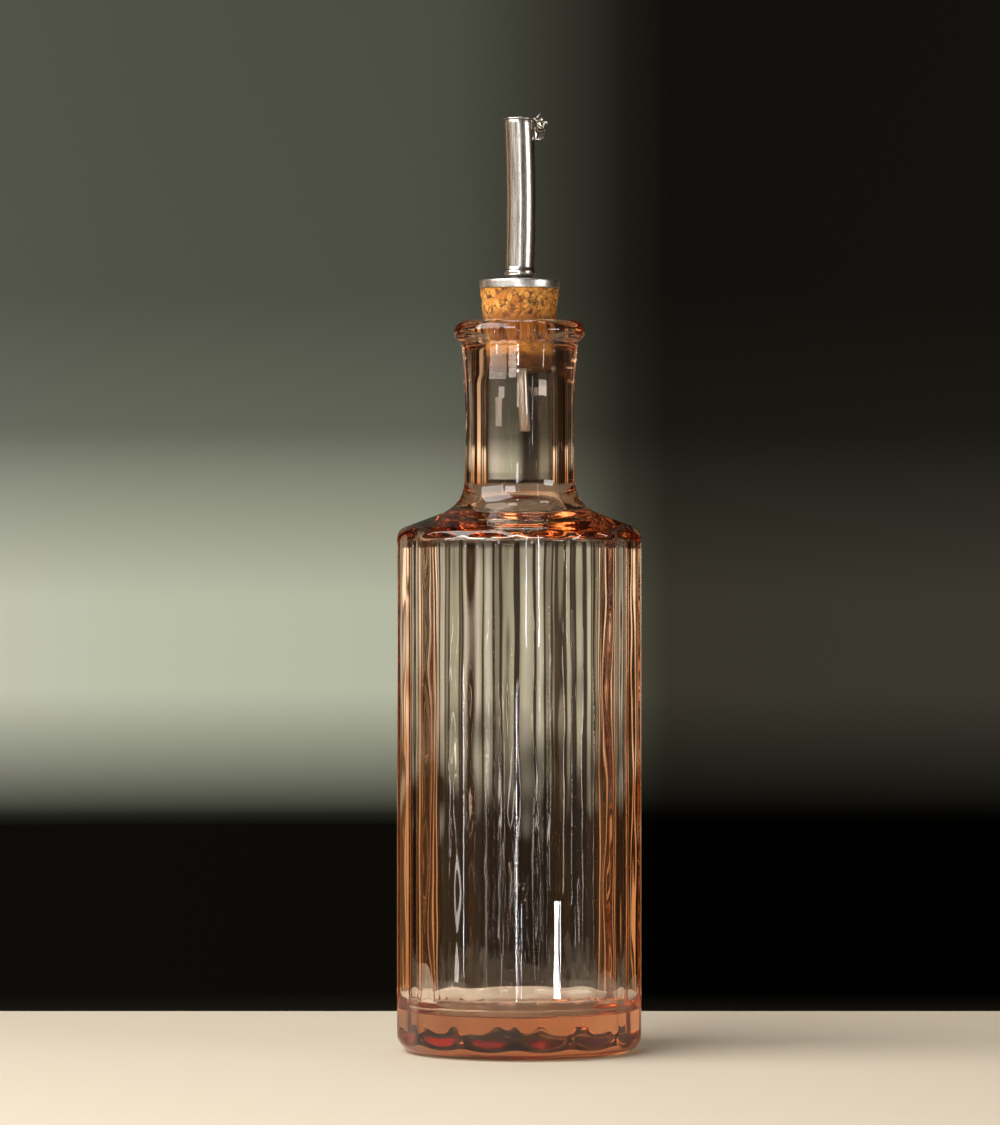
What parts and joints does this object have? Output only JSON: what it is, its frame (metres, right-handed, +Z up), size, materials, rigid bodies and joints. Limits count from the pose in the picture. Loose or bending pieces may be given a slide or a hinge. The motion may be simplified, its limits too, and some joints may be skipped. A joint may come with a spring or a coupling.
{
  "type": "oil cruet",
  "caption": "Fluted pale rose-amber glass oil bottle with a waisted neck and rolled lip, shut by a tapered cork pourer whose steel spout has a small hinged flap.",
  "frame": {"origin": "on the table, on the bottle's axis", "axes": "+Z up along the bottle's axis, +X towards the flap's hinge, -Y towards the picture's viewer"},
  "size_m": [0.0686, 0.0696, 0.2629],
  "materials": {
    "bottle_glass": "clear moulded glass with a pale rose-amber tint, deeper where it is thick",
    "cork": "matt agglomerated cork with dark crevices, oil-stained at its lower end",
    "satin_steel": "satin stainless steel",
    "polished_steel": "polished stainless steel"
  },
  "bodies": {
    "bottle": {"glass_bottle": "bottle_glass", "cork": "cork", "cap_disc": "satin_steel", "spout_tube": "polished_steel", "vent_tube": "polished_steel", "hinge_lug": "satin_steel", "hinge_pin": "satin_steel"},
    "flap": {"flap": "polished_steel"}
  },
  "joints": [
    {"name": "flap_hinge", "type": "hinge", "parent": "bottle", "child": "flap", "pos_m": [0.0059, 0, 0.2593], "axis": [0, 1, 0], "range_deg": [0, 100]}
  ]
}
